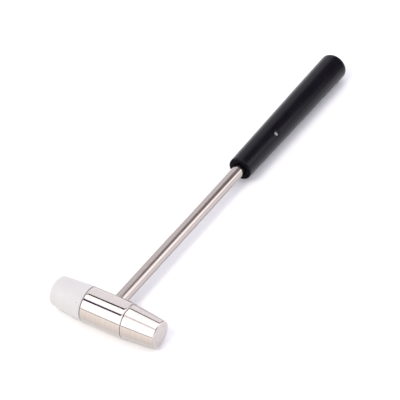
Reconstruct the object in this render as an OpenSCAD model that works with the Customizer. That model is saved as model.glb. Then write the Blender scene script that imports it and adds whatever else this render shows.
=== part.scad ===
// Small two-faced tapping hammer, lying on its side.
// A turned steel barrel carries a steel face and a nylon face on two set screws, a round
// steel rod is screwed into the barrel's side, and a black grip is pinned on the rod's end.
// The head runs along X, the rod along Y, and the surface that the hammer lies on is Z = 0.

/* [Head barrel] */
// Diameter of the barrel
barrel_d = 14; // [13:0.5:18]
// Length of the barrel
barrel_l = 18; // [18:0.5:26]
// Chamfer on each rim of the barrel
barrel_rim = 0.3; // [0.1:0.1:0.6]

/* [Steel face] */
// Length of the steel face
steel_l = 14; // [10:0.5:20]
// Diameter of the steel face next to the barrel
steel_base_d = 13.5; // [11:0.5:13.5]
// Diameter where the steel face's taper would meet its striking disc
steel_end_d = 11; // [9:0.5:11]
// Rounding of the steel striking disc's edge
steel_edge = 0.5; // [0.3:0.1:1.5]

/* [Nylon face] */
// Length of the nylon face
nylon_l = 15; // [10:0.5:20]
// Diameter of the nylon face next to the barrel
nylon_base_d = 14; // [12:0.5:14]
// Diameter where the nylon face's taper would meet its striking disc
nylon_end_d = 12; // [9:0.5:12]
// Rounding of the nylon striking disc's edge
nylon_edge = 2; // [0.5:0.25:2.5]

/* [Set screws] */
// Major diameter of the set screws that hold the faces
stud_d = 6; // [5:1:6]
// Length of a set screw
stud_l = 12; // [10:0.5:13]
// Length of a set screw that sits in the barrel
stud_in_barrel = 5.5; // [4:0.5:5.5]
// Width across the flats of a set screw's hexagon socket
socket_w = 3; // [2:0.5:3]
// Depth of a set screw's hexagon socket
socket_depth = 3.5; // [2:0.5:4]

/* [Rod] */
// Diameter of the rod
rod_d = 5.2; // [4.4:0.1:6]
// Depth of the seat that the rod's shoulder stands in, from the barrel's side
rod_seat = 2; // [1.5:0.25:2]
// Major diameter of the threaded tenon on the rod's front end
tenon_d = 4; // [3:0.5:4]
// Length of the threaded tenon
tenon_l = 6; // [4:0.5:6.5]
// Length of the rod that shows between the barrel and the grip
rod_show = 88.5; // [60:0.5:120]
// Length of the rod inside the grip
rod_in_grip = 39.5; // [30:0.5:50]

/* [Grip] */
// Length of the grip
grip_l = 77.5; // [70:0.5:110]
// Diameter of the grip at its front end
grip_front_d = 10; // [9:0.2:11]
// Diameter of the grip at its rear end
grip_rear_d = 11.8; // [11:0.2:13]
// Rounding of the grip's rear end
grip_round = 2.5; // [1:0.25:4]
// Chamfer on the grip's front edge
grip_edge = 0.4; // [0.2:0.1:0.8]

/* [Grip pin] */
// Diameter of the cross pin
pin_d = 2; // [1.5:0.25:2.5]
// Distance from the grip's front end to the cross pin
pin_back = 23; // [12:0.5:28]
// Turn of the cross pin about the rod, from straight up towards the steel face
pin_turn = 45; // [0:5:90]
// Depth of the pin's ends below the grip's surface
pin_recess = 0.35; // [0.2:0.05:0.5]

/* [Hidden] */
$fn = 96;

// Radial clearance of each set screw and of the rod's tenon in its hole
thread_gap = 0.05;
// Radial clearance of the rod in the barrel's seat and in the grip
rod_gap = 0.05;
// Radial clearance of the cross pin in the grip and the rod
pin_gap = 0.02;
// Gap between a face and the end of the barrel
seat_gap = 0.05;
// Free space past the end of a set screw, of the tenon and of the rod
end_gap = 0.4;
// Chamfer on the ends of the set screws, the tenon, the rod and the pin
end_chamfer = 0.4;
// Chamfer on the mouth of each threaded hole
mouth_chamfer = 0.35;
// Widening of the countersinks over the cross pin's ends
pin_sink = 0.4;
// Overlap of a cutting shape past the surface that it cuts
cut = 1;
// Bands that a rounded edge is made of
edge_steps = 10;

barrel_r = barrel_d / 2;
stud_in_face = stud_l - stud_in_barrel;
steel_end = barrel_l / 2 + steel_l;
nylon_end = barrel_l / 2 + nylon_l;
seat_y = barrel_r - rod_seat;
grip_y = barrel_r + rod_show;
rear_y = grip_y + grip_l;
rod_end_y = grip_y + rod_in_grip;
pin_y = grip_y + pin_back;
grip_taper = (grip_rear_d - grip_front_d) / 2 / grip_l;
grip_r_at_pin = grip_front_d / 2 + grip_taper * pin_back;

// The origin is the bottom centre of the hammer's box; the barrel's centre stands here
head_x = (nylon_end - steel_end) / 2;
head_y = -(rear_y - barrel_r) / 2;

// Places a shape that is modelled about the barrel's centre
module at_head() translate([head_x, head_y, barrel_r]) children();

// Turns a shape that stands on +Z so that it points along +X, -X or +Y
module along_x() rotate([0, 90, 0]) children();
module along_minus_x() rotate([0, -90, 0]) children();
module along_y() rotate([-90, 0, 0]) children();

// Round bar from z = 0 to z = l with a chamfer on each end
module bar(r, l, front, back)
    rotate_extrude()
        polygon([[0, 0], [r - front, 0], [r, front], [r, l - back], [r - back, l], [0, l]]);

// Tapered bar: radius base_r at z = 0, end_r at z = l, with the end's edge rounded.
// The rounding is an arc about a centre that lies edge inside the end and the tapered side.
module tapered_bar(base_r, end_r, l, edge) {
    taper = atan((base_r - end_r) / l);
    centre_r = base_r - (base_r - end_r) * (l - edge) / l - edge / cos(taper);
    rounding = [
        for (i = [0:edge_steps])
            let (a = taper + (90 - taper) * i / edge_steps)
                [centre_r + edge * cos(a), l - edge + edge * sin(a)]
    ];
    rotate_extrude() polygon(concat([[0, 0], [base_r, 0]], rounding, [[0, l]]));
}

// Cutter for a blind hole that opens at z = 0 and runs down to z = -depth
module blind_hole(r, depth, mouth)
    rotate_extrude()
        polygon([
            [0, cut], [r + mouth, cut], [r + mouth, 0],
            [r, -mouth], [r, -depth], [0, -depth]
        ]);

// Hammer face on +Z with the hole for its set screw in its base
module hammer_face(base_d, end_d, l, edge)
    difference() {
        translate([0, 0, seat_gap]) tapered_bar(base_d / 2, end_d / 2, l - seat_gap, edge);
        translate([0, 0, seat_gap]) mirror([0, 0, 1])
            blind_hole(stud_d / 2 + thread_gap, stud_in_face + end_gap, mouth_chamfer);
    }

// Set screw on +Z, with the barrel's end at z = 0 and its hexagon socket at the inner end
module set_screw()
    translate([0, 0, -stud_in_barrel]) difference() {
        bar(stud_d / 2, stud_l, end_chamfer, end_chamfer);
        translate([0, 0, -cut])
            cylinder(r = socket_w / sqrt(3), h = socket_depth + cut, $fn = 6);
    }

module head_barrel()
    color("silver") at_head() difference() {
        along_x() translate([0, 0, -barrel_l / 2])
            bar(barrel_r, barrel_l, barrel_rim, barrel_rim);
        for (side = [0, 180])
            rotate([0, 0, side]) translate([barrel_l / 2, 0, 0]) along_x()
                blind_hole(stud_d / 2 + thread_gap, stud_in_barrel + end_gap, mouth_chamfer);
        translate([0, seat_y, 0]) along_y() {
            blind_hole(tenon_d / 2 + thread_gap, tenon_l + end_gap, mouth_chamfer);
            cylinder(r = rod_d / 2 + rod_gap, h = rod_seat + cut);
        }
    }

module steel_face()
    color("gainsboro") at_head() translate([barrel_l / 2, 0, 0]) along_x()
        hammer_face(steel_base_d, steel_end_d, steel_l, steel_edge);

module steel_face_stud()
    color("dimgray") at_head() translate([barrel_l / 2, 0, 0]) along_x() set_screw();

module nylon_face()
    color("whitesmoke") at_head() translate([-barrel_l / 2, 0, 0]) along_minus_x()
        hammer_face(nylon_base_d, nylon_end_d, nylon_l, nylon_edge);

module nylon_face_stud()
    color("dimgray") at_head() translate([-barrel_l / 2, 0, 0]) along_minus_x() set_screw();

// Cutter for the cross pin's hole, as long as the shape that it goes through needs
module pin_hole(r)
    rotate([0, pin_turn, 0]) cylinder(r = r, h = grip_rear_d + 2 * cut, center = true);

module shaft_rod()
    color("lightgray") at_head() difference() {
        union() {
            translate([0, seat_y - tenon_l, 0]) along_y()
                bar(tenon_d / 2, tenon_l + cut, end_chamfer, 0);
            translate([0, seat_y, 0]) along_y()
                bar(rod_d / 2, rod_end_y - seat_y, 0, end_chamfer);
        }
        translate([0, pin_y, 0]) pin_hole(pin_d / 2 + pin_gap);
    }

module handle_grip()
    color([0.1, 0.1, 0.11]) at_head() translate([0, grip_y, 0]) difference() {
        along_y() difference() {
            tapered_bar(grip_front_d / 2, grip_rear_d / 2, grip_l, grip_round);
            edge_cutter(grip_front_d / 2, grip_edge);
        }
        mirror([0, 1, 0]) along_y()
            blind_hole(rod_d / 2 + rod_gap, rod_in_grip + end_gap, mouth_chamfer);
        translate([0, pin_back, 0]) pin_hole(pin_d / 2 + pin_gap);
        for (side = [0, 180])
            translate([0, pin_back, 0]) rotate([0, pin_turn + side, 0])
                translate([0, 0, grip_r_at_pin - pin_sink])
                    cylinder(r1 = pin_d / 2, r2 = pin_d / 2 + pin_sink + cut, h = pin_sink + cut);
    }

// Ring cutter that takes a chamfer off the edge of a bar of radius r at z = 0
module edge_cutter(r, chamfer)
    rotate_extrude()
        polygon([[r - chamfer, 0], [r - chamfer, -cut], [r + cut, -cut], [r + cut, chamfer + cut],
                 [r, chamfer]]);

module grip_pin() {
    pin_l = 2 * (grip_r_at_pin - pin_recess);
    color("lightgray") at_head() translate([0, pin_y, 0]) rotate([0, pin_turn, 0])
        translate([0, 0, -pin_l / 2]) bar(pin_d / 2, pin_l, end_chamfer / 2, end_chamfer / 2);
}

head_barrel();
steel_face();
steel_face_stud();
nylon_face();
nylon_face_stud();
shaft_rod();
handle_grip();
grip_pin();
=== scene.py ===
"""A small two-faced tapping hammer, lying on its side on a pale studio floor.

Every piece is a turned surface worked out with numpy. A piece has a lathe frame: an origin, the
axis that it is turned about, and two directions square to it. A row of the profile is a height
along the axis and a radius, and the radius may change round the row, as in a thread or a socket.
"""
import math

import bpy
import numpy as np
from mathutils import Matrix, Vector


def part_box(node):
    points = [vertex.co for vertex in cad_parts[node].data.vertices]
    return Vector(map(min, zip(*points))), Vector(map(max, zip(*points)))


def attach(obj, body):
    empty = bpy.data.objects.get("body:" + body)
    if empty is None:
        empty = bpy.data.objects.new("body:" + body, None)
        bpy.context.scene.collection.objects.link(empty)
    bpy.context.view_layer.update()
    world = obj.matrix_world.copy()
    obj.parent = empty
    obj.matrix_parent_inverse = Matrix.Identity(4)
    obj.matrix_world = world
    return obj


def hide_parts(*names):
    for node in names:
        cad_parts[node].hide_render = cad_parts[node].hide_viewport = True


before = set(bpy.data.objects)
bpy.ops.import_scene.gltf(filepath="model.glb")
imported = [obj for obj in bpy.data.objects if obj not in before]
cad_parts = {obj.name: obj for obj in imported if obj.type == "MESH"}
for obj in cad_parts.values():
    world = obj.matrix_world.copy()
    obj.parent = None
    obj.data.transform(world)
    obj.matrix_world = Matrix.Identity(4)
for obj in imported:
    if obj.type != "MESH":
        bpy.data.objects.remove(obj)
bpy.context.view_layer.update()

MM = 0.001
TURN = 2 * math.pi
X_WAY, Y_WAY = np.array([1.0, 0, 0]), np.array([0, 1.0, 0])

# Points round a turned piece, rings between a block's edge and the hole in it, rows in one
# pitch of a thread, and the angle in degrees past which an edge is sharp.
COUNT = 192
PATCH_RINGS = 5
THREAD_ROWS = 12
SHARP_EDGE = 35

# ---------------------------------------------------------------- sizes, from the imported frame

barrel_lo, barrel_hi = (np.array(corner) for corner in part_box("head_barrel"))
steel_lo, steel_hi = (np.array(corner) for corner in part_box("steel_face"))
nylon_lo, nylon_hi = (np.array(corner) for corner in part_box("nylon_face"))
stud_lo, stud_hi = (np.array(corner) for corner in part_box("steel_face_stud"))
rod_lo, rod_hi = (np.array(corner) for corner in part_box("shaft_rod"))
grip_lo, grip_hi = (np.array(corner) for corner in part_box("handle_grip"))
pin_lo, pin_hi = (np.array(corner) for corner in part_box("grip_pin"))

HEAD = (barrel_lo + barrel_hi) / 2
BARREL_R = (barrel_hi[2] - barrel_lo[2]) / 2
BARREL_HALF = (barrel_hi[0] - barrel_lo[0]) / 2
BARREL_RIM = 0.3 * MM

STEEL_BASE_R = (steel_hi[2] - steel_lo[2]) / 2
STEEL_END_R = 5.5 * MM
STEEL_LENGTH = steel_hi[0] - barrel_hi[0]
STEEL_BASE_EDGE = 0.12 * MM
STEEL_EDGE = 0.5 * MM
STEEL_CROWN = 1.0
NYLON_BASE_R = (nylon_hi[2] - nylon_lo[2]) / 2
NYLON_END_R = 6.0 * MM
NYLON_LENGTH = barrel_lo[0] - nylon_lo[0]
NYLON_BASE_EDGE = 0.35 * MM
NYLON_EDGE = 2.0 * MM
NYLON_CROWN = 1.3
SEAT_GAP = steel_lo[0] - barrel_hi[0]
FACE_ROWS = 41
DISC_RINGS = (0.985, 0.9, 0.75, 0.6, 0.45, 0.3, 0.15)

STUD_R = (stud_hi[2] - stud_lo[2]) / 2
STUD_INSIDE = barrel_hi[0] - stud_lo[0]
STUD_OUTSIDE = stud_hi[0] - barrel_hi[0]
STUD_PITCH = 1.0 * MM
STUD_THREAD = 0.55 * MM
SOCKET_W = 3.0 * MM
SOCKET_DEPTH = 3.5 * MM
SCREW_SLACK = 0.03 * MM
SCREW_CHAMFER = 0.2 * MM

ROD_R = (rod_hi[2] - rod_lo[2]) / 2
ROD_END = rod_hi[1] - HEAD[1]
TENON_END = rod_lo[1] - HEAD[1]
SEAT_Y = BARREL_R - 2.0 * MM
TENON_R = 2.0 * MM
TENON_PITCH = 0.7 * MM
TENON_THREAD = 0.38 * MM
TENON_RELIEF = 0.4 * MM
SHOULDER_CORNER = 0.1 * MM
ROD_CHAMFER = 0.4 * MM

GRIP_FRONT = grip_lo[1] - HEAD[1]
GRIP_L = grip_hi[1] - grip_lo[1]
GRIP_FRONT_R = 5.0 * MM
GRIP_REAR_R = 5.9 * MM
GRIP_SLOPE = (GRIP_REAR_R - GRIP_FRONT_R) / GRIP_L
GRIP_ROUND = 2.5 * MM
GRIP_EDGE = 0.4 * MM
GRIP_BORE = 39.9 * MM

PIN_AT = (pin_lo + pin_hi) / 2
PIN_Y = PIN_AT[1] - HEAD[1]
PIN_R = 1.0 * MM
PIN_WAY = np.array([math.sqrt(0.5), 0.0, math.sqrt(0.5)])
PIN_HALF = 4.917 * MM
PIN_DOME = 0.12 * MM
PIN_EDGE = 0.15 * MM
PIN_SINK = 0.4 * MM

THREAD_GAP = 0.05 * MM
ROD_GAP = 0.05 * MM
PIN_GAP = 0.02 * MM
END_GAP = 0.4 * MM
MOUTH = 0.35 * MM
HOLE_R = STUD_R + THREAD_GAP
HOLE_THREAD = 0.3 * MM

SPECK_AT = HEAD + np.array([-11.0, -5.41, 4.23]) * MM
SPECK_R = 0.16 * MM
# Widths of the painted shade beside the barrel's joints, which stands for the shadow in the seams.
STEEL_JOINT_SHADE = 0.10 * MM
NYLON_JOINT_SHADE = 0.45 * MM

# A flat end keeps a narrow ring of faces beside its rounded edge, so that it looks flat.
FLAT_RING = 0.1 * MM

# The hammer lies a hair above the floor, and the cards on the floor a little above that.
FLOOR_GAP = 0.02 * MM
CARD_LIFT = 0.3 * MM


# ---------------------------------------------------------------- surfaces

class Lathe:
    """A piece as a set of points and faces. A point at height h, angle t and radius r is at
    origin + h * axis + r * (cos t * first + sin t * second)."""

    def __init__(self, origin, axis, first):
        self.origin = np.array(origin, float)
        self.axis = np.array(axis, float)
        self.first = np.array(first, float)
        self.second = np.cross(self.axis, self.first)
        self.points = []
        self.faces = []
        self.finish = []
        self.size = 0

    def place(self, h, t, r):
        """Points of the formula above, for arrays h, t and r that broadcast together."""
        h, t, r = np.broadcast_arrays(h, t, r)
        round_part = np.cos(t)[..., None] * self.first + np.sin(t)[..., None] * self.second
        return self.origin + h[..., None] * self.axis + r[..., None] * round_part

    def add(self, points):
        """Keeps the points and gives back their numbers, in an array of the same form."""
        shape = points.shape[:-1]
        numbers = np.arange(self.size, self.size + int(np.prod(shape))).reshape(shape)
        self.points.append(points.reshape(-1, 3))
        self.size += numbers.size
        return numbers

    def skin(self, numbers, keep=None, finish=0):
        """Four-sided faces between rows of point numbers that close round. keep leaves some out."""
        right = np.roll(numbers, -1, axis=1)
        quads = np.stack([numbers[:-1], right[:-1], right[1:], numbers[1:]], axis=-1)
        quads = quads.reshape(-1, 4) if keep is None else quads[keep]
        self.faces.append(quads)
        self.finish.append(np.broadcast_to(finish, len(quads)).copy())

    def pole(self, ring, point, ends_here, finish=0):
        """A fan of triangles from a ring of point numbers to a point on the axis."""
        tip = self.add(point.reshape(1, 3))[0]
        nxt = np.roll(ring, -1)
        tips = np.full(len(ring), tip)
        fan = np.stack([ring, nxt, tips] if ends_here else [nxt, ring, tips], axis=-1)
        self.faces.append(fan)
        self.finish.append(np.full(len(fan), finish))

    def make(self, name, materials):
        """The finished object, smooth but for its sharp edges."""
        mesh = bpy.data.meshes.new(name)
        faces = [face for block in self.faces for face in block.tolist()]
        mesh.from_pydata(np.concatenate(self.points).tolist(), [], faces)
        mesh.polygons.foreach_set("material_index", np.concatenate(self.finish).astype(np.int32))
        mesh.polygons.foreach_set("use_smooth", np.ones(len(faces), bool))
        mesh.set_sharp_from_angle(angle=math.radians(SHARP_EDGE))
        for material in materials:
            mesh.materials.append(material)
        mesh.update()
        piece = bpy.data.objects.new(name, mesh)
        bpy.context.scene.collection.objects.link(piece)
        return piece


def angles(count=COUNT):
    """count angles round a full turn."""
    return np.arange(count) * TURN / count


def arc(h, r, size_h, size_r, start, end, steps=6):
    """Rows of an elliptical arc about (h, r), from start to end degrees, 0 being outwards
    along the radius and 90 being up along the axis."""
    a = np.radians(np.linspace(start, end, steps + 1))
    return [(h + size_h * math.sin(v), r + size_r * math.cos(v)) for v in a]


def line(h0, r0, h1, r1, steps):
    """Rows of a straight line, its first row left out."""
    return [(h0 + (h1 - h0) * k / steps, r0 + (r1 - r0) * k / steps) for k in range(1, steps + 1)]


def tapered_edge(base_r, end_r, length, edge):
    """The rows of the rounding that joins a tapered side to a flat end: an arc whose centre lies
    edge inside both, from square to the taper to along the axis."""
    taper = math.degrees(math.atan2(base_r - end_r, length))
    centre_r = (base_r - (base_r - end_r) * (length - edge) / length
                - edge / math.cos(math.radians(taper)))
    return arc(length - edge, centre_r, edge, edge, taper, 90, steps=14)


def thread_rows(start, end, core, outer, pitch, count=COUNT):
    """Rows of a right-hand screw thread between heights start and end. The radius swings from
    core to outer with the triangle wave of (height / pitch - angle / turn), its crest and root
    cut flat, and grows from core over the first fade_length and back over the last."""
    peak, steepness, fade_length = 1.25, 3.0, 0.6 * pitch
    h = np.arange(start, end, pitch / THREAD_ROWS)[:, None]
    phase = (h / pitch - angles(count)[None, :] / TURN) % 1.0
    wave = np.clip(peak - steepness * np.abs(phase - 0.5), 0.0, 1.0)
    fade = np.clip(np.minimum(h - start, end - h) / fade_length, 0.0, 1.0)
    return list(zip(h[:, 0], core + (outer - core) * wave * fade))


def hexagon(width):
    """Radius of a hexagon of that width across its flats, at each angle of a row."""
    return width / 2 / np.cos(angles() % (TURN / 6) - TURN / 12)


def rows_to_arrays(rows, count):
    """Heights as a column and radii as a table with one row for each row of the profile."""
    h = np.array([row[0] for row in rows])[:, None]
    r = np.array([np.broadcast_to(row[1], count) for row in rows])
    return h, r


def turn(lathe, rows, count=COUNT, start=None, end=None, finish=None, keep=None):
    """Turns a profile. start and end are the heights of the poles that close it, finish is the
    finish of each band between two rows, and keep says which faces are made."""
    h, r = rows_to_arrays(rows, count)
    numbers = lathe.add(lathe.place(h, angles(count)[None, :], r))
    bands = np.zeros(len(rows) - 1, int) if finish is None else np.array(finish)
    faces_finish = np.repeat(bands, count)
    if keep is not None:
        faces_finish = faces_finish.reshape(-1, count)[keep]
    lathe.skin(numbers, keep, faces_finish)
    if start is not None:
        lathe.pole(numbers[0], lathe.origin + start * lathe.axis, False, bands[0])
    if end is not None:
        lathe.pole(numbers[-1], lathe.origin + end * lathe.axis, True, bands[-1])
    return numbers


def around(numbers, low, high, left, right):
    """Point numbers round a block of the grid, from row low to high and column left to right,
    in the order right, up, left, down, starting in the middle of the right-hand side."""
    sign = 1 if high > low else -1
    rows = np.arange(low, high + sign, sign)
    cols = np.arange(left, right + 1) % numbers.shape[1]
    block = numbers[np.ix_(rows, cols)]
    ring = np.concatenate([block[:-1, -1], block[-1, :0:-1], block[:0:-1, 0], block[0, :-1]])
    return np.roll(ring, -((len(rows) - 1) // 2))


def hole_rows(at, half, count):
    """Even heights across a block that a round hole is let into."""
    return np.linspace(at - half, at + half, count)


def pierce(lathe, ring, at, angle, radius, surface_r):
    """Rings of points that close in from the ring round a block to a round hole in the turned
    surface. In the plane that faces the hole, a point blends from its place on the block's edge
    to the hole's circle, and is then set back on to the surface of radius surface_r(height). The
    second result is the angle of each point round the hole."""
    edge = np.concatenate(lathe.points)[ring] - lathe.origin
    outward = math.cos(angle) * lathe.first + math.sin(angle) * lathe.second
    across = np.cross(lathe.axis, outward)
    h, s = edge @ lathe.axis - at, edge @ across
    psi = np.arctan2(h, s)
    share = np.linspace(0, 1, PATCH_RINGS + 1)[1:, None]
    new_h = at + h * (1 - share) + radius * np.sin(psi) * share
    new_s = s * (1 - share) + radius * np.cos(psi) * share
    r = surface_r(new_h)
    return lathe.add(lathe.place(new_h, angle + np.arcsin(new_s / r), r)), psi


def shaft_rings(lathe, psi, at, angle, rows):
    """Rings of a round hole's wall: each row is a distance from the lathe's axis, along the
    hole, and the hole's radius there."""
    outward = math.cos(angle) * lathe.first + math.sin(angle) * lathe.second
    across = np.cross(lathe.axis, outward)
    depth, radius = np.array(rows).T[:, :, None, None]
    round_part = np.sin(psi)[None, :, None] * lathe.axis + np.cos(psi)[None, :, None] * across
    return lathe.add(lathe.origin + at * lathe.axis + depth * outward + radius * round_part)


def through(lathe, numbers, low, high, left, right, at, angle, radius, surface_r):
    """The rings from a block's edge to a round hole in it, with the angle of each point."""
    ring = around(numbers, low, high, left, right)
    patch, psi = pierce(lathe, ring, at, angle, radius, surface_r)
    return np.vstack([ring[None, :], patch]), psi


def block_mask(rows, count, blocks):
    """Which faces of a turned grid stay, when blocks of (low, high, left, right) are cut out."""
    keep = np.ones((rows - 1, count), bool)
    for low, high, left, right in blocks:
        cols = np.arange(left, right) % count
        keep[np.ix_(np.arange(min(low, high), max(low, high)), cols)] = False
    return keep


def steady(radius):
    """A surface radius that is the same at every height."""
    return lambda h: np.full_like(h, radius)


# ---------------------------------------------------------------- pieces

def threaded_wall(deep, mouth):
    """Rows of a threaded hole's wall from its bottom up to its mouth: the thread is cut outwards
    from the wall, so that it stays clear of the screw."""
    low, high = sorted((deep, mouth))
    rows = thread_rows(low, high, HOLE_R, HOLE_R + HOLE_THREAD, STUD_PITCH)
    return [(deep, HOLE_R)] + (rows if deep < mouth else rows[::-1]) + [(mouth, HOLE_R)]


def make_barrel(materials):
    """A bar with a rounded rim at each end, a threaded hole in each end, and a seat with a
    smaller hole in its side for the rod. The seat is let into a block of the grid, count rows
    over half each way and columns each way, with a margin before it."""
    lathe = Lathe(HEAD, X_WAY, Y_WAY)
    hole_end = BARREL_HALF - STUD_INSIDE - END_GAP
    half, columns, count, margin = 3.5 * MM, 16, 17, 0.3 * MM
    flat_r = BARREL_R - BARREL_RIM
    rim_h = BARREL_HALF - BARREL_RIM
    left_end = threaded_wall(-hole_end, -BARREL_HALF + MOUTH)
    left_end += [(-BARREL_HALF, HOLE_R + MOUTH), (-BARREL_HALF, flat_r - FLAT_RING)]
    left_end += arc(-rim_h, flat_r, BARREL_RIM, BARREL_RIM, -90, 0)
    left_end += line(-rim_h, BARREL_R, -half - margin, BARREL_R, steps=8)
    block = [(h, BARREL_R) for h in hole_rows(0, half, count)]
    right_end = [(-h, r) for h, r in reversed(left_end)]
    rows = left_end + block + right_end
    low, high = len(left_end), len(left_end) + count - 1
    keep = block_mask(len(rows), COUNT, [(low, high, -columns, columns)])
    numbers = turn(lathe, rows, start=-hole_end, end=hole_end, keep=keep)
    seat_r, tenon_r = ROD_R + ROD_GAP, TENON_R + THREAD_GAP
    rings, psi = through(lathe, numbers, low, high, -columns, columns, 0, 0, seat_r,
                         steady(BARREL_R))
    tenon_hole_end = TENON_END - END_GAP
    wall = shaft_rings(lathe, psi, 0, 0, [
        (SEAT_Y, seat_r), (SEAT_Y, tenon_r + MOUTH), (SEAT_Y - MOUTH, tenon_r),
        (tenon_hole_end, tenon_r)])
    lathe.skin(np.vstack([rings, wall]))
    lathe.pole(wall[-1], lathe.origin + tenon_hole_end * Y_WAY, True)
    return lathe.make("head_barrel_turned", materials)


def make_face(name, side, base_r, end_r, length, edge, base_edge, crown, materials, disc_finish):
    """A tapered bar on the barrel's end, with a threaded hole in its base. Its side falls from
    base_r by a power of the height, crown, so that a crown above 1 bulges it."""
    lathe = Lathe(HEAD + side * BARREL_HALF * X_WAY, side * X_WAY, Y_WAY)
    deep = SEAT_GAP + STUD_OUTSIDE + END_GAP
    rows = threaded_wall(deep, SEAT_GAP + MOUTH)
    rows += [(SEAT_GAP, HOLE_R + MOUTH), (SEAT_GAP, base_r - base_edge - FLAT_RING)]
    rows += arc(SEAT_GAP + base_edge, base_r - base_edge, base_edge, base_edge, -90, 0)
    edge_rows = tapered_edge(base_r, end_r, length, edge)
    start_h, (end_h, last_r) = rows[-1][0], edge_rows[0]
    share = np.linspace(0, 1, FACE_ROWS)[1:-1]
    rows += list(zip(start_h + (end_h - start_h) * share,
                     base_r + (last_r - base_r) * share ** crown))
    rows += edge_rows
    side_bands = len(rows) - 1
    disc_r = edge_rows[-1][1]
    rows += [(length, disc_r * k) for k in DISC_RINGS]
    finish = [0] * side_bands + [disc_finish] * (len(rows) - 1 - side_bands)
    turn(lathe, rows, start=deep, end=length, finish=finish)
    return lathe.make(name, materials)


def make_stud(name, side, materials):
    """A set screw: a right-hand thread, chamfered ends and a hexagon socket in the inner end."""
    lathe = Lathe(HEAD + side * BARREL_HALF * X_WAY, side * X_WAY, Y_WAY)
    outer = STUD_R - SCREW_SLACK
    core = outer - STUD_THREAD
    end_r = core - SCREW_CHAMFER
    low, high = -STUD_INSIDE + SCREW_CHAMFER, STUD_OUTSIDE - SCREW_CHAMFER
    floor = -STUD_INSIDE + SOCKET_DEPTH
    socket = hexagon(SOCKET_W)
    rows = [(floor, socket), (-STUD_INSIDE, socket), (-STUD_INSIDE, end_r)]
    rows += [(low, core)] + thread_rows(low, high, core, outer, STUD_PITCH)
    rows += [(high, core), (STUD_OUTSIDE, end_r), (STUD_OUTSIDE, end_r / 2)]
    turn(lathe, rows, start=floor, end=STUD_OUTSIDE)
    return lathe.make(name, materials)


def make_rod(materials):
    """A round rod with a threaded tenon and a shoulder at its front end and a cross hole near
    its other end, let into blocks of the grid as the barrel's seat is."""
    count = 96
    half, columns, ring_rows, margin = 1.6 * MM, 10, 11, 0.5 * MM
    lathe = Lathe(HEAD, Y_WAY, PIN_WAY)
    core = TENON_R - SCREW_SLACK - TENON_THREAD
    end_r = core - SCREW_CHAMFER
    thread_start, relief = TENON_END + SCREW_CHAMFER, SEAT_Y - TENON_RELIEF
    side_start = SEAT_Y + SHOULDER_CORNER
    rows = [(TENON_END, end_r / 2), (TENON_END, end_r), (thread_start, core)]
    rows += thread_rows(thread_start, relief, core, core + TENON_THREAD, TENON_PITCH, count)
    rows += [(relief, core), (SEAT_Y, core), (SEAT_Y, ROD_R - SHOULDER_CORNER)]
    rows += [(side_start, ROD_R)]
    rows += line(side_start, ROD_R, PIN_Y - half - margin, ROD_R, steps=70)
    low = len(rows)
    rows += [(h, ROD_R) for h in hole_rows(PIN_Y, half, ring_rows)]
    high = len(rows) - 1
    rows += line(PIN_Y + half, ROD_R, ROD_END - ROD_CHAMFER, ROD_R, steps=6)
    rows += [(ROD_END, ROD_R - ROD_CHAMFER), (ROD_END, ROD_R / 2)]
    opposite = count // 2
    sides = [(low, high, -columns, columns), (low, high, opposite - columns, opposite + columns)]
    keep = block_mask(len(rows), count, sides)
    numbers = turn(lathe, rows, count, start=TENON_END, end=ROD_END, keep=keep)
    hole_r = PIN_R + PIN_GAP
    near, _ = through(lathe, numbers, *sides[0], PIN_Y, 0, hole_r, steady(ROD_R))
    far, _ = through(lathe, numbers, *sides[1], PIN_Y, math.pi, hole_r, steady(ROD_R))
    points = near.shape[1]
    facing = (points // 2 - np.arange(points)) % points
    lathe.skin(np.vstack([near, far[::-1, facing]]))
    return lathe.make("shaft_rod_turned", materials)


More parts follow.
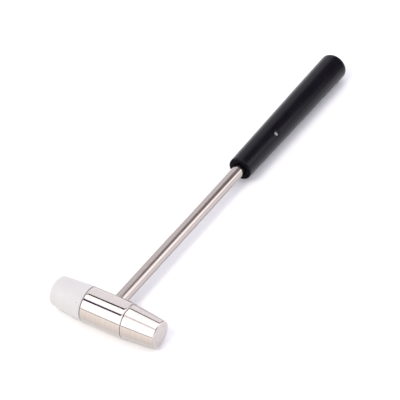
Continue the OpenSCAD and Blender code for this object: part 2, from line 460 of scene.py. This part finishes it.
def make_grip(materials):
    """A tapered grip with a blind bore for the rod, rounded at the rear, and with a cross hole
    whose ends are countersunk. The hole is let into blocks of the grid, in the side and in the
    bore, as the barrel's seat is."""
    lathe = Lathe(HEAD + GRIP_FRONT * Y_WAY, Y_WAY, PIN_WAY)
    bore_r, hole_r, sink_r = ROD_R + ROD_GAP, PIN_R + PIN_GAP, PIN_R + PIN_SINK
    at = PIN_Y - GRIP_FRONT
    columns, ring_rows = 14, 15
    bore_half, bore_margin = 1.3 * MM, 1.0 * MM
    outer_half, margin = 2.3 * MM, 0.3 * MM
    rows = [(GRIP_BORE, bore_r)]
    rows += line(GRIP_BORE, bore_r, at + bore_half + bore_margin, bore_r, steps=6)
    bore_high = len(rows)
    rows += [(h, bore_r) for h in hole_rows(at, bore_half, ring_rows)[::-1]]
    bore_low = len(rows) - 1
    rows += line(at - bore_half, bore_r, MOUTH, bore_r, steps=10)
    rows += [(0, bore_r + MOUTH), (0, GRIP_FRONT_R - GRIP_EDGE - FLAT_RING)]
    # The bore and the front face, up to here, wear the dull copy of the plastic.
    dull_bands = len(rows)
    rows += arc(GRIP_EDGE, GRIP_FRONT_R - GRIP_EDGE, GRIP_EDGE,
                GRIP_EDGE + GRIP_SLOPE * GRIP_EDGE, -90, 0)

    def side_r(h):
        """The grip's radius at height h, which grows evenly towards the rear."""
        return GRIP_FRONT_R + GRIP_SLOPE * h

    def side(h0, h1, steps):
        """Rows of the grip's side between two heights."""
        return line(h0, side_r(h0), h1, side_r(h1), steps)

    rows += side(GRIP_EDGE, at - outer_half - margin, steps=24)
    low = len(rows)
    rows += [(h, side_r(h)) for h in hole_rows(at, outer_half, ring_rows)]
    high = len(rows) - 1
    edge_rows = tapered_edge(GRIP_FRONT_R, GRIP_REAR_R, GRIP_L, GRIP_ROUND)
    rows += side(at + outer_half, edge_rows[0][0] - margin, steps=50) + edge_rows
    rows += [(GRIP_L, edge_rows[-1][1] * k) for k in (0.8, 0.5, 0.2)]
    opposite = COUNT // 2
    blocks = []
    for turned in (0, opposite):
        blocks.append((low, high, turned - columns, turned + columns))
        blocks.append((bore_low, bore_high, turned - columns, turned + columns))
    keep = block_mask(len(rows), COUNT, blocks)
    finish = [1] * dull_bands + [0] * (len(rows) - 1 - dull_bands)
    numbers = turn(lathe, rows, start=GRIP_BORE, end=GRIP_L, finish=finish, keep=keep)
    for k, angle in enumerate((0, math.pi)):
        outside, psi = through(lathe, numbers, *blocks[2 * k], at, angle, sink_r, side_r)
        inside, _ = through(lathe, numbers, *blocks[2 * k + 1], at, angle, hole_r,
                            steady(bore_r))
        throat = shaft_rings(lathe, psi, at, angle, [(side_r(at) - PIN_SINK, hole_r)])
        lathe.skin(np.vstack([outside, throat, inside[::-1]]))
    return lathe.make("handle_grip_moulded", materials)


def make_pin(materials):
    """A cross pin with domed ends: the dome's height falls with the square of the radius."""
    lathe = Lathe(PIN_AT, PIN_WAY, Y_WAY)
    dome_r = PIN_R - PIN_EDGE
    radii = np.linspace(0.1, 1, 8) * dome_r
    top = [(PIN_HALF - PIN_DOME * (r / dome_r) ** 2, r) for r in radii]
    top += arc(PIN_HALF - PIN_DOME - PIN_EDGE, dome_r, PIN_EDGE, PIN_EDGE, 90, 0)[1:]
    rows = [(-h, r) for h, r in top] + [(h, r) for h, r in reversed(top)]
    turn(lathe, rows, count=64, start=-PIN_HALF, end=PIN_HALF)
    return lathe.make("grip_pin_domed", materials)


# ---------------------------------------------------------------- finishes

DIRT = (0.02, 0.02, 0.02)
DISC_LINES = 5200

# The sockets of a Mix node that mixes colours, by number, because their names repeat.
MIX_FACTOR, MIX_FIRST, MIX_SECOND, MIX_RESULT = 0, 6, 7, 2

def node(tree, kind, **settings):
    """Adds a node and sets its properties, and its inputs where the name is one of theirs."""
    made = tree.nodes.new(kind)
    for name, value in settings.items():
        label = name.replace("_", " ").title()
        if label in made.inputs:
            made.inputs[label].default_value = value
        else:
            setattr(made, name, value)
    return made


def build_lines_group():
    """Fine lines left by a tool. The input vector is the place on the piece, already scaled so
    that a line is narrow across the cut and long along it."""
    tree = bpy.data.node_groups.new("tool lines", "ShaderNodeTree")
    tree.interface.new_socket("Place", in_out="INPUT", socket_type="NodeSocketVector")
    tree.interface.new_socket("Fine", in_out="OUTPUT", socket_type="NodeSocketFloat")
    tree.interface.new_socket("Broad", in_out="OUTPUT", socket_type="NodeSocketFloat")
    enter, leave = node(tree, "NodeGroupInput"), node(tree, "NodeGroupOutput")
    fine = node(tree, "ShaderNodeTexNoise", scale=1.0, detail=3.0, roughness=0.65)
    broad = node(tree, "ShaderNodeTexNoise", scale=0.13, detail=2.0, roughness=0.5)
    for texture, name in ((fine, "Fine"), (broad, "Broad")):
        tree.links.new(enter.outputs["Place"], texture.inputs["Vector"])
        tree.links.new(texture.outputs["Fac"], leave.inputs[name])
    return tree


def build_wear_group():
    """Handling marks: cloudy smears and sparse fine scratches, both 0 to 1."""
    tree = bpy.data.node_groups.new("handling marks", "ShaderNodeTree")
    tree.interface.new_socket("Smear", in_out="OUTPUT", socket_type="NodeSocketFloat")
    tree.interface.new_socket("Scratch", in_out="OUTPUT", socket_type="NodeSocketFloat")
    leave = node(tree, "NodeGroupOutput")
    place = node(tree, "ShaderNodeTexCoord")
    smear = node(tree, "ShaderNodeTexNoise", scale=180.0, detail=4.0, roughness=0.55)
    turned = node(tree, "ShaderNodeMapping", rotation=(0.5, 0.9, 0.3), scale=(60, 2600, 400))
    strokes = node(tree, "ShaderNodeTexNoise", scale=1.0, detail=1.0)
    sparse = node(tree, "ShaderNodeMapRange", from_min=0.68, from_max=0.76)
    tree.links.new(place.outputs["Object"], smear.inputs["Vector"])
    tree.links.new(place.outputs["Object"], turned.inputs["Vector"])
    tree.links.new(turned.outputs["Vector"], strokes.inputs["Vector"])
    tree.links.new(strokes.outputs["Fac"], sparse.inputs["Value"])
    tree.links.new(smear.outputs["Fac"], leave.inputs["Smear"])
    tree.links.new(sparse.outputs["Result"], leave.inputs["Scratch"])
    return tree


def build_joint_shade_group():
    """Painted shade where a face meets the barrel, standing for the shadow in the seam: 1 at the
    joint, fading out beside it, and uneven round it."""
    tree = bpy.data.node_groups.new("painted joint shade", "ShaderNodeTree")
    tree.interface.new_socket("Width", in_out="INPUT", socket_type="NodeSocketFloat")
    tree.interface.new_socket("Painted shade", in_out="OUTPUT", socket_type="NodeSocketFloat")
    enter, leave = node(tree, "NodeGroupInput"), node(tree, "NodeGroupOutput")
    place, parts = node(tree, "ShaderNodeTexCoord"), node(tree, "ShaderNodeSeparateXYZ")
    tree.links.new(place.outputs["Object"], parts.inputs["Vector"])
    way = parts.outputs["X"]
    for operation, value in (("SUBTRACT", HEAD[0]), ("ABSOLUTE", 0), ("SUBTRACT", BARREL_HALF),
                             ("ABSOLUTE", 0)):
        step = node(tree, "ShaderNodeMath", operation=operation)
        tree.links.new(way, step.inputs[0])
        step.inputs[1].default_value = value
        way = step.outputs["Value"]
    fade = node(tree, "ShaderNodeMapRange", interpolation_type="SMOOTHSTEP", from_min=0.0,
                to_min=1.0, to_max=0.0)
    patchy = node(tree, "ShaderNodeTexNoise", scale=700.0, detail=2.0)
    uneven = node(tree, "ShaderNodeMapRange", from_min=0.3, from_max=0.6, to_min=0.55)
    both = node(tree, "ShaderNodeMath", operation="MULTIPLY")
    tree.links.new(way, fade.inputs["Value"])
    tree.links.new(enter.outputs["Width"], fade.inputs["From Max"])
    tree.links.new(place.outputs["Object"], patchy.inputs["Vector"])
    tree.links.new(patchy.outputs["Fac"], uneven.inputs["Value"])
    tree.links.new(fade.outputs["Result"], both.inputs[0])
    tree.links.new(uneven.outputs["Result"], both.inputs[1])
    tree.links.new(both.outputs["Value"], leave.inputs["Painted shade"])
    return tree


LINES = build_lines_group()
WEAR = build_wear_group()
JOINT_SHADE = build_joint_shade_group()


class Finish:
    """A material whose constants sit on its shader, and whose changing values are linked."""

    def __init__(self, name, **constants):
        self.material = bpy.data.materials.new(name)
        self.material.use_nodes = True
        self.tree = self.material.node_tree
        self.shader = self.tree.nodes["Principled BSDF"]
        for key, value in constants.items():
            self.shader.inputs[key.replace("_", " ")].default_value = value

    def node(self, kind, **settings):
        """A node of this material."""
        return node(self.tree, kind, **settings)

    def link(self, source, target):
        """Joins an output to an input."""
        self.tree.links.new(source, target)

    def group(self, tree):
        """A node group, placed in this material."""
        made = self.tree.nodes.new("ShaderNodeGroup")
        made.node_tree = tree
        return made

    def lines(self, scale):
        """The tool lines of a piece, from its place scaled along X, Y and Z about the head."""
        place = self.node("ShaderNodeTexCoord")
        shift = tuple(-c * s for c, s in zip(HEAD, scale))
        mapping = self.node("ShaderNodeMapping", location=shift, scale=scale)
        made = self.group(LINES)
        self.link(place.outputs["Object"], mapping.inputs["Vector"])
        self.link(mapping.outputs["Vector"], made.inputs["Place"])
        return made

    def spread(self, source, low, high, target, from_min=0.3, from_max=0.7):
        """Sends a mask to an input as a value between low and high."""
        made = self.node("ShaderNodeMapRange", from_min=from_min, from_max=from_max,
                         to_min=low, to_max=high)
        self.link(source, made.inputs["Value"])
        self.link(made.outputs["Result"], target)

    def tint(self, source, first, second):
        """The base colour, from first to second as the mask goes from 0.3 to 0.7."""
        ramp = self.node("ShaderNodeValToRGB")
        for stop, position, colour in zip(ramp.color_ramp.elements, (0.3, 0.7), (first, second)):
            stop.position = position
            stop.color = (*colour, 1)
        self.link(source, ramp.inputs["Fac"])
        self.link(ramp.outputs["Color"], self.shader.inputs["Base Color"])
        return ramp.outputs["Color"]

    def blend(self, factor, first, second):
        """The base colour, changed from the first to the second as far as the factor says."""
        mixed = self.node("ShaderNodeMix", data_type="RGBA")
        mixed.inputs[MIX_SECOND].default_value = (*second, 1)
        self.link(factor, mixed.inputs[MIX_FACTOR])
        self.link(first, mixed.inputs[MIX_FIRST])
        self.link(mixed.outputs[MIX_RESULT], self.shader.inputs["Base Color"])
        return mixed.outputs[MIX_RESULT]

    def paint_joint_shade(self, clean, width, colour):
        """Darkens the base colour with painted shade beside the joints of the head: it stands for
        the shadow in the seams.
        """
        painted_shade = self.group(JOINT_SHADE)
        painted_shade.inputs["Width"].default_value = width
        self.blend(painted_shade.outputs["Painted shade"], clean, colour)

    def speck(self, clean, place, radius):
        """One dark speck of dirt at a place on the piece."""
        here = self.node("ShaderNodeTexCoord")
        away = self.node("ShaderNodeVectorMath", operation="DISTANCE")
        away.inputs[1].default_value = tuple(place)
        fade = self.node("ShaderNodeMapRange", from_min=0.75 * radius, from_max=1.25 * radius,
                         to_min=1.0, to_max=0.0)
        self.link(here.outputs["Object"], away.inputs[0])
        self.link(away.outputs["Value"], fade.inputs["Value"])
        return self.blend(fade.outputs["Result"], clean, DIRT)

    def bump(self, source, distance, before=None):
        """Relief of the given height in metres, on top of the relief before it."""
        made = self.node("ShaderNodeBump", strength=1.0, distance=distance)
        self.link(source, made.inputs["Height"])
        if before is not None:
            self.link(before.outputs["Normal"], made.inputs["Normal"])
        self.link(made.outputs["Normal"], self.shader.inputs["Normal"])
        return made


def nickel_plate(name, scale, dark, light, smooth, rough, relief):
    """Polished plate over a turned or drawn surface, with smears, hair scratches and painted shade
    beside the barrel's joints.
    """
    made = Finish(name, Metallic=1.0)
    lines = made.lines(scale)
    wear = made.group(WEAR)
    clean = made.tint(lines.outputs["Broad"], dark, light)
    # Painted shade in the seam where a face meets the barrel.
    made.paint_joint_shade(clean, STEEL_JOINT_SHADE, (0.32, 0.29, 0.285))
    made.spread(wear.outputs["Smear"], smooth, rough, made.shader.inputs["Roughness"])
    base = made.bump(lines.outputs["Fine"], relief)
    made.bump(wear.outputs["Scratch"], relief * 0.5, base)
    return made.material


def satin_disc():
    """A faced disc: the tool lines run round the head's axis, so the scaled place is the
    distance from the axis, with a slow change across the disc."""
    made = Finish("satin_nickel_disc", Metallic=1.0)
    place = made.node("ShaderNodeTexCoord")
    centred = made.node("ShaderNodeVectorMath", operation="SUBTRACT")
    centred.inputs[1].default_value = tuple(HEAD)
    flat = made.node("ShaderNodeVectorMath", operation="MULTIPLY")
    flat.inputs[1].default_value = (0, 1, 1)
    distance = made.node("ShaderNodeVectorMath", operation="LENGTH")
    rings = made.node("ShaderNodeCombineXYZ")
    scaled = made.node("ShaderNodeMath", operation="MULTIPLY")
    scaled.inputs[1].default_value = DISC_LINES
    lines = made.group(LINES)
    wear = made.group(WEAR)
    made.link(place.outputs["Object"], centred.inputs[0])
    made.link(centred.outputs["Vector"], flat.inputs[0])
    made.link(flat.outputs["Vector"], distance.inputs[0])
    made.link(distance.outputs["Value"], scaled.inputs[0])
    made.link(scaled.outputs["Value"], rings.inputs["X"])
    made.link(rings.outputs["Vector"], lines.inputs["Place"])
    made.tint(lines.outputs["Broad"], (0.515, 0.475, 0.466), (0.59, 0.545, 0.535))
    made.spread(wear.outputs["Smear"], 0.27, 0.38, made.shader.inputs["Roughness"])
    base = made.bump(lines.outputs["Fine"], 2.0e-6)
    made.bump(wear.outputs["Scratch"], 1.5e-6, base)
    return made.material


def screw_steel():
    """Plain turned steel, darker in its smears."""
    made = Finish("screw_steel", Metallic=1.0)
    lines = made.lines((5000, 300, 300))
    wear = made.group(WEAR)
    made.tint(wear.outputs["Smear"], (0.33, 0.32, 0.31), (0.46, 0.45, 0.43))
    made.spread(lines.outputs["Fine"], 0.24, 0.38, made.shader.inputs["Roughness"])
    made.bump(lines.outputs["Fine"], 1.5e-6)
    return made.material


def milky_nylon():
    """Turned nylon: light passes into it, faint tool lines run round it, it has one speck of dirt,
    and painted shade darkens it beside its joint with the barrel."""
    made = Finish("milky_nylon", IOR=1.53, Subsurface_Weight=0.55,
                  Subsurface_Radius=(1.0, 1.0, 1.0), Subsurface_Scale=2.5 * MM,
                  Sheen_Weight=0.14, Sheen_Roughness=0.4)
    lines = made.lines((3200, 90, 90))
    wear = made.group(WEAR)
    clean = made.tint(wear.outputs["Smear"], (0.53, 0.512, 0.497), (0.565, 0.549, 0.533))
    marked = made.speck(clean, SPECK_AT, SPECK_R)
    # Painted shade in the seam where the nylon meets the barrel.
    made.paint_joint_shade(marked, NYLON_JOINT_SHADE, (0.10, 0.085, 0.09))
    made.spread(lines.outputs["Broad"], 0.34, 0.46, made.shader.inputs["Roughness"])
    base = made.bump(lines.outputs["Fine"], 2.5e-6)
    made.bump(wear.outputs["Scratch"], 1.5e-6, base)
    return made.material


def black_plastic():
    """Moulded plastic with a very fine grain and paler handling marks."""
    made = Finish("black_moulded_plastic", IOR=1.45, Specular_IOR_Level=0.24,
                  Specular_Tint=(0.95, 0.91, 1.0, 1))
    place = made.node("ShaderNodeTexCoord")
    grain = made.node("ShaderNodeTexNoise", scale=4200.0, detail=2.0, roughness=0.6)
    made.link(place.outputs["Object"], grain.inputs["Vector"])
    wear = made.group(WEAR)
    made.tint(wear.outputs["Smear"], (0.0008, 0.0007, 0.0030), (0.0020, 0.0017, 0.0048))
    made.spread(wear.outputs["Smear"], 0.22, 0.29, made.shader.inputs["Roughness"])
    base = made.bump(grain.outputs["Fac"], 6.0e-6)
    made.bump(wear.outputs["Scratch"], 2.0e-6, base)
    return made.material


def dull_front_plastic():
    """The same plastic on the grip's front face and in its bore, dull and with little reflection,
    so that the front face looks dark.
    """
    made = Finish("black_dull_front_plastic", IOR=1.45, Specular_IOR_Level=0.06)
    wear = made.group(WEAR)
    made.tint(wear.outputs["Smear"], (0.0022, 0.0022, 0.0034), (0.0040, 0.0040, 0.0058))
    made.spread(wear.outputs["Smear"], 0.5, 0.62, made.shader.inputs["Roughness"])
    return made.material


def pin_steel():
    """Dark steel, lightly marked by the tool that drove the pin in."""
    made = Finish("dark_pin_steel", Metallic=1.0)
    wear = made.group(WEAR)
    made.tint(wear.outputs["Smear"], (0.20, 0.20, 0.21), (0.30, 0.30, 0.31))
    made.spread(wear.outputs["Smear"], 0.2, 0.3, made.shader.inputs["Roughness"])
    made.bump(wear.outputs["Scratch"], 1.0e-6)
    return made.material


BARREL_NICKEL = nickel_plate(
    "polished_nickel_barrel", scale=(7000, 60, 60), dark=(0.61, 0.555, 0.535),
    light=(0.655, 0.597, 0.578), smooth=0.045, rough=0.085, relief=4.0e-7)
FACE_NICKEL = nickel_plate(
    "polished_nickel_face", scale=(6000, 60, 60), dark=(0.60, 0.545, 0.525),
    light=(0.65, 0.59, 0.572), smooth=0.05, rough=0.09, relief=5.0e-7)
ROD_NICKEL = nickel_plate(
    "drawn_nickel_rod", scale=(3600, 26, 3600), dark=(0.45, 0.40, 0.383),
    light=(0.52, 0.463, 0.447), smooth=0.10, rough=0.16, relief=1.2e-6)

# ---------------------------------------------------------------- assembly

# The frame's own plain material, which already has the name that screw_steel asks for. The nylon
# face's set screw wears it, without the tool lines of the steel face's set screw.
PLAIN_SCREW_STEEL = bpy.data.materials["screw_steel"]

# For each CAD node: the piece that stands for it, its body and its material slot.
PIECES = {
    "head_barrel": (make_barrel([BARREL_NICKEL]), "barrel_and_handle", "polished_nickel"),
    "steel_face": (
        make_face("steel_face_turned", 1, STEEL_BASE_R, STEEL_END_R, STEEL_LENGTH, STEEL_EDGE,
                  STEEL_BASE_EDGE, STEEL_CROWN, [FACE_NICKEL, satin_disc()], 1),
        "steel_head_face", "polished_nickel"),
    "steel_face_stud": (make_stud("steel_face_stud_threaded", 1, [screw_steel()]),
                        "steel_stud", "screw_steel"),
    "nylon_face": (
        make_face("nylon_face_turned", -1, NYLON_BASE_R, NYLON_END_R, NYLON_LENGTH, NYLON_EDGE,
                  NYLON_BASE_EDGE, NYLON_CROWN, [milky_nylon()], 0),
        "nylon_head_face", "white_nylon"),
    "nylon_face_stud": (make_stud("nylon_face_stud_threaded", -1, [PLAIN_SCREW_STEEL]),
                        "nylon_stud", "screw_steel"),
    "shaft_rod": (make_rod([ROD_NICKEL]), "barrel_and_handle", "polished_nickel"),
    "handle_grip": (make_grip([black_plastic(), dull_front_plastic()]),
                    "barrel_and_handle", "black_plastic"),
    "grip_pin": (make_pin([pin_steel()]), "barrel_and_handle", "pin_steel"),
}
for cad_node, (piece, body, finish_slot) in PIECES.items():
    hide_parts(cad_node)
    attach(piece, body)


# ---------------------------------------------------------------- studio

WHITE, BLACK, DARK_VIOLET = (1.0, 1.0, 1.0), (0.0, 0.0, 0.0), (0.08, 0.06, 0.13)
BLUISH, BROWNISH = (0.9, 0.9, 1.0), (1.0, 0.91, 0.9)

# The colour and the strength of the room, as reflections see it and as fill light.
ROOM_SEEN = (1.0, 0.99, 1.04, 1), 1.2
ROOM_FILL = (0.97, 0.96, 1.07, 1), 1.2

def glow(name, colour, strength):
    """A material that only shines."""
    material = bpy.data.materials.new(name)
    material.use_nodes = True
    tree = material.node_tree
    tree.nodes.clear()
    shine = node(tree, "ShaderNodeEmission", strength=strength)
    shine.inputs["Color"].default_value = (*colour, 1)
    out = tree.nodes.new("ShaderNodeOutputMaterial")
    tree.links.new(shine.outputs["Emission"], out.inputs["Surface"])
    material.cycles.emission_sampling = "NONE"
    return material


def shaded_glow(name, stops):
    """A material that only shines, with a colour that changes along Y: each stop is a place in
    mm from the head and a colour. A ramp's colours end at 1, so it holds them divided by the
    strength."""
    strength = 2.0
    material = glow(name, WHITE, strength)
    tree = material.node_tree
    place, parts = node(tree, "ShaderNodeTexCoord"), node(tree, "ShaderNodeSeparateXYZ")
    first, last = stops[0][0], stops[-1][0]
    along = node(tree, "ShaderNodeMapRange", from_min=HEAD[1] + first * MM,
                 from_max=HEAD[1] + last * MM)
    ramp = node(tree, "ShaderNodeValToRGB")
    points = ramp.color_ramp.elements
    while len(points) < len(stops):
        points.new(0.5)
    for point, (y, colour) in zip(points, stops):
        point.position = (y - first) / (last - first)
        point.color = (*(c / strength for c in colour), 1)
    tree.links.new(place.outputs["Object"], parts.inputs["Vector"])
    tree.links.new(parts.outputs["Y"], along.inputs["Value"])
    tree.links.new(along.outputs["Result"], ramp.inputs["Fac"])
    tree.links.new(ramp.outputs["Color"], tree.nodes["Emission"].inputs["Color"])
    return material


def card(name, corners, colour, strength=1.0):
    """A flat card that shows only in reflections. A list of stops may stand for its colour."""
    mesh = bpy.data.meshes.new(name)
    mesh.from_pydata([tuple(c) for c in corners], [], [tuple(range(len(corners)))])
    shine = shaded_glow(name, colour) if isinstance(colour, list) else glow(name, colour, strength)
    mesh.materials.append(shine)
    made = bpy.data.objects.new(name, mesh)
    bpy.context.scene.collection.objects.link(made)
    made.visible_camera = made.visible_diffuse = made.visible_shadow = False
    made.visible_transmission = made.visible_volume_scatter = False


def overhead(x, y, height=2.0):
    """A point on a ceiling plane at that height above the head, x and y being how far it lies
    along X and Y for each metre up."""
    return HEAD + height * np.array([x, y, 1.0])


def ahead(x, z, distance=2.0):
    """A point on a wall in front of the head, at that distance towards -Y, x and z being how far
    it lies along X and Z for each metre away."""
    return HEAD + distance * np.array([x, -1.0, z])


def to_the_side(azimuth, elevation, distance=2.0):
    """A point at that azimuth from -Y towards +X, and elevation, seen from the head."""
    a, e = math.radians(azimuth), math.radians(elevation)
    way = np.array([math.sin(a) * math.cos(e), -math.cos(a) * math.cos(e), math.sin(e)])
    return HEAD + distance * way


def floor_height(y):
    """The floor's height at y: a plane under the barrel and the grip's rear, as the hammer lies
    on both."""
    touch = GRIP_L - GRIP_ROUND
    rise = (HEAD[2] - GRIP_FRONT_R - GRIP_SLOPE * touch) / (GRIP_FRONT + touch)
    return rise * (y - HEAD[1]) - FLOOR_GAP


def on_the_floor(*places):
    """Points just above the floor, from their x and y in mm from the head."""
    points = [HEAD + np.array([x, y, 0]) * MM for x, y in places]
    return [(x, y, floor_height(y) + CARD_LIFT) for x, y, _ in points]


def ribbon(path, widths):
    """The outline of a strip along a path of overhead points: each point, moved half the width
    there to either side, square to the path."""
    path = np.array(path)
    way = np.gradient(path, axis=0)
    way /= np.linalg.norm(way, axis=1)[:, None]
    out = np.stack([-way[:, 1], way[:, 0]], axis=1) * np.array(widths)[:, None] / 2
    return [*(path + out), *(path - out)[::-1]]


# The soft boxes over, in front of and behind the hammer, and the dim foot of the front wall.
card("ceiling_softbox", [overhead(x, y) for x, y in (
    (-0.62, -0.52), (-0.62, 0.19), (-0.466, 0.284), (-0.37, 0.72), (0.75, 0.66), (0.95, 0.40),
    (0.2, -0.04))], WHITE, 1.8)
card("front_wall_softbox", [ahead(-1.1, 0.08), ahead(0.0, 0.08), ahead(0.0, 2.0),
                            ahead(-1.1, 2.0)], WHITE, 1.9)
card("front_wall_foot", [ahead(-1.1, 0.0, 1.99), ahead(0.4, 0.0, 1.99), ahead(0.4, 0.07, 1.99),
                         ahead(-1.1, 0.07, 1.99)], WHITE, 0.3)
card("rear_softbox", [to_the_side(122, 13), to_the_side(150, 13), to_the_side(150, 39),
                      to_the_side(122, 39)], WHITE, 2.1)

# Dark bars along the ceiling softbox's edges, just under it.
card("frame_bar_rear", [overhead(x, y, 1.9) for x, y in ribbon(
    [(-0.80, 0.08), (-0.462, 0.265), (-0.395, 0.55), (-0.375, 0.889), (-0.40, 1.3)],
    [0.12, 0.12, 0.09, 0.05, 0.05])], BLACK, 0.0)
card("frame_bar_front", [overhead(x, y, 1.9) for x, y in ribbon(
    [(-0.75, -0.61), (-0.512, -0.462), (-0.500, -0.452), (-0.478, -0.440), (-0.247, -0.301),
     (-0.05, -0.185)],
    [0.32, 0.28, 0.16, 0.09, 0.02, 0.004])], DARK_VIOLET, 1.0)

# Dim flags behind the hammer and at its right.
card("dim_flag_rear", [HEAD + np.array(corner) * MM for corner in (
    (-50, 298, -5), (174, 298, -5), (174, 298, 430), (-50, 298, 430))], BROWNISH, 0.34)
card("dim_flag_right", [to_the_side(66, 3, 1.5), to_the_side(108, 3, 1.5),
                        to_the_side(108, 56, 1.5), to_the_side(66, 56, 1.5)], BLUISH, 0.12)

# Sheets on the floor, seen only in reflections, that carry painted floor light and painted shadow,
# and a wall at the left.
# Painted warm floor light far in front of the head, fading into painted contact shadow under it.
card("painted_floor_light_and_shadow_in_front", on_the_floor((-400, -400), (80, -400), (80, -3), (-400, -3)), [
    (-45, (1.29, 1.24, 1.17)), (-28, (1.24, 1.17, 1.10)), (-16, (1.16, 1.10, 1.04)),
    (-9, (1.0, 0.96, 0.94)), (-6, (0.92, 0.90, 0.89)), (-3, (0.98, 0.96, 0.94))])
# Painted shadow of the head on the floor behind it, at the left of the rod.
card("painted_head_shadow_behind_left", on_the_floor((-2.5, 7), (-2.5, 48), (-260, 290), (-260, 7)),
     (1.0, 0.97, 0.99), 0.84)
# Painted shadow of the rod on the floor at its right.
card("painted_rod_shadow_behind_right", on_the_floor((3.2, 7.5), (10.5, 7.5), (9, 92), (4.6, 92)),
     (1.0, 0.97, 1.0), 0.82)
card("left_wall", [to_the_side(-142, 2), to_the_side(-118, 2), to_the_side(-118, 34),
                   to_the_side(-142, 34)], WHITE, 1.02)


def make_floor():
    """A wide matte floor under the hammer."""
    reach = 4.0
    corners = [(x, y, floor_height(y))
               for x, y in ((-reach, -reach), (reach, -reach), (reach, reach), (-reach, reach))]
    mesh = bpy.data.meshes.new("studio_floor")
    mesh.from_pydata(corners, [], [(0, 1, 2, 3)])
    sheet = Finish("matte_white_sheet", Roughness=1.0, Specular_IOR_Level=0.0)
    sheet.shader.inputs["Base Color"].default_value = (0.92, 0.92, 0.90, 1)
    mesh.materials.append(sheet.material)
    floor = bpy.data.objects.new("studio_floor", mesh)
    bpy.context.scene.collection.objects.link(floor)


make_floor()


def softbox(name, place, target, width, height, power, colour):
    """A soft lamp that lights the matte surfaces and isn't seen in the polished ones."""
    lamp = bpy.data.lights.new(name, "AREA")
    lamp.shape, lamp.size, lamp.size_y = "RECTANGLE", width, height
    lamp.energy, lamp.color = power, colour
    made = bpy.data.objects.new(name, lamp)
    bpy.context.scene.collection.objects.link(made)
    way = Vector(target) - Vector(place)
    made.location = Vector(place)
    made.rotation_euler = way.to_track_quat("-Z", "Y").to_euler()
    made.visible_glossy = made.visible_camera = False


softbox("front_softbox", to_the_side(-12, 53, 1.8), HEAD, 0.55, 0.55, 12.5, (1.0, 0.95, 0.82))


def white_room():
    """The room all round: white in reflections, and a little cooler as fill light."""
    world = bpy.data.worlds.new("white_room")
    world.use_nodes = True
    tree = world.node_tree
    seen = tree.nodes["Background"]
    seen.inputs["Color"].default_value, seen.inputs["Strength"].default_value = ROOM_SEEN
    fill = node(tree, "ShaderNodeBackground")
    fill.inputs["Color"].default_value, fill.inputs["Strength"].default_value = ROOM_FILL
    path, mixed = node(tree, "ShaderNodeLightPath"), node(tree, "ShaderNodeMixShader")
    tree.links.new(path.outputs["Is Diffuse Ray"], mixed.inputs["Fac"])
    tree.links.new(seen.outputs["Background"], mixed.inputs[1])
    tree.links.new(fill.outputs["Background"], mixed.inputs[2])
    tree.links.new(mixed.outputs["Shader"], tree.nodes["World Output"].inputs["Surface"])
    bpy.context.scene.world = world


white_room()
bpy.context.scene.view_settings.view_transform = "Standard"

# ---------------------------------------------------------------- camera

CAMERA_TURN, CAMERA_HEIGHT, CAMERA_ROLL = 32.273, 42.1, -0.741
CAMERA_DISTANCE = 1.0451
FOCAL_LENGTH, FILM_WIDTH = 238.04, 36.0
AIM = HEAD + np.array([-3.926, 71.582, 0.0]) * MM


def make_camera():
    """A long lens that looks down on the hammer from the front right."""
    a, e, roll = (math.radians(v) for v in (CAMERA_TURN, CAMERA_HEIGHT, CAMERA_ROLL))
    back = Vector((math.sin(a) * math.cos(e), -math.cos(a) * math.cos(e), math.sin(e)))
    right = Vector((math.cos(a), math.sin(a), 0))
    up = back.cross(right)
    right, up = (right * math.cos(roll) + up * math.sin(roll),
                 up * math.cos(roll) - right * math.sin(roll))
    lens = bpy.data.cameras.new("camera")
    lens.lens, lens.sensor_width = FOCAL_LENGTH, FILM_WIDTH
    camera = bpy.data.objects.new("camera", lens)
    turned = Matrix((right, up, back)).transposed().to_4x4()
    camera.matrix_world = Matrix.Translation(Vector(AIM) + back * CAMERA_DISTANCE) @ turned
    bpy.context.scene.collection.objects.link(camera)
    bpy.context.scene.camera = camera


make_camera()
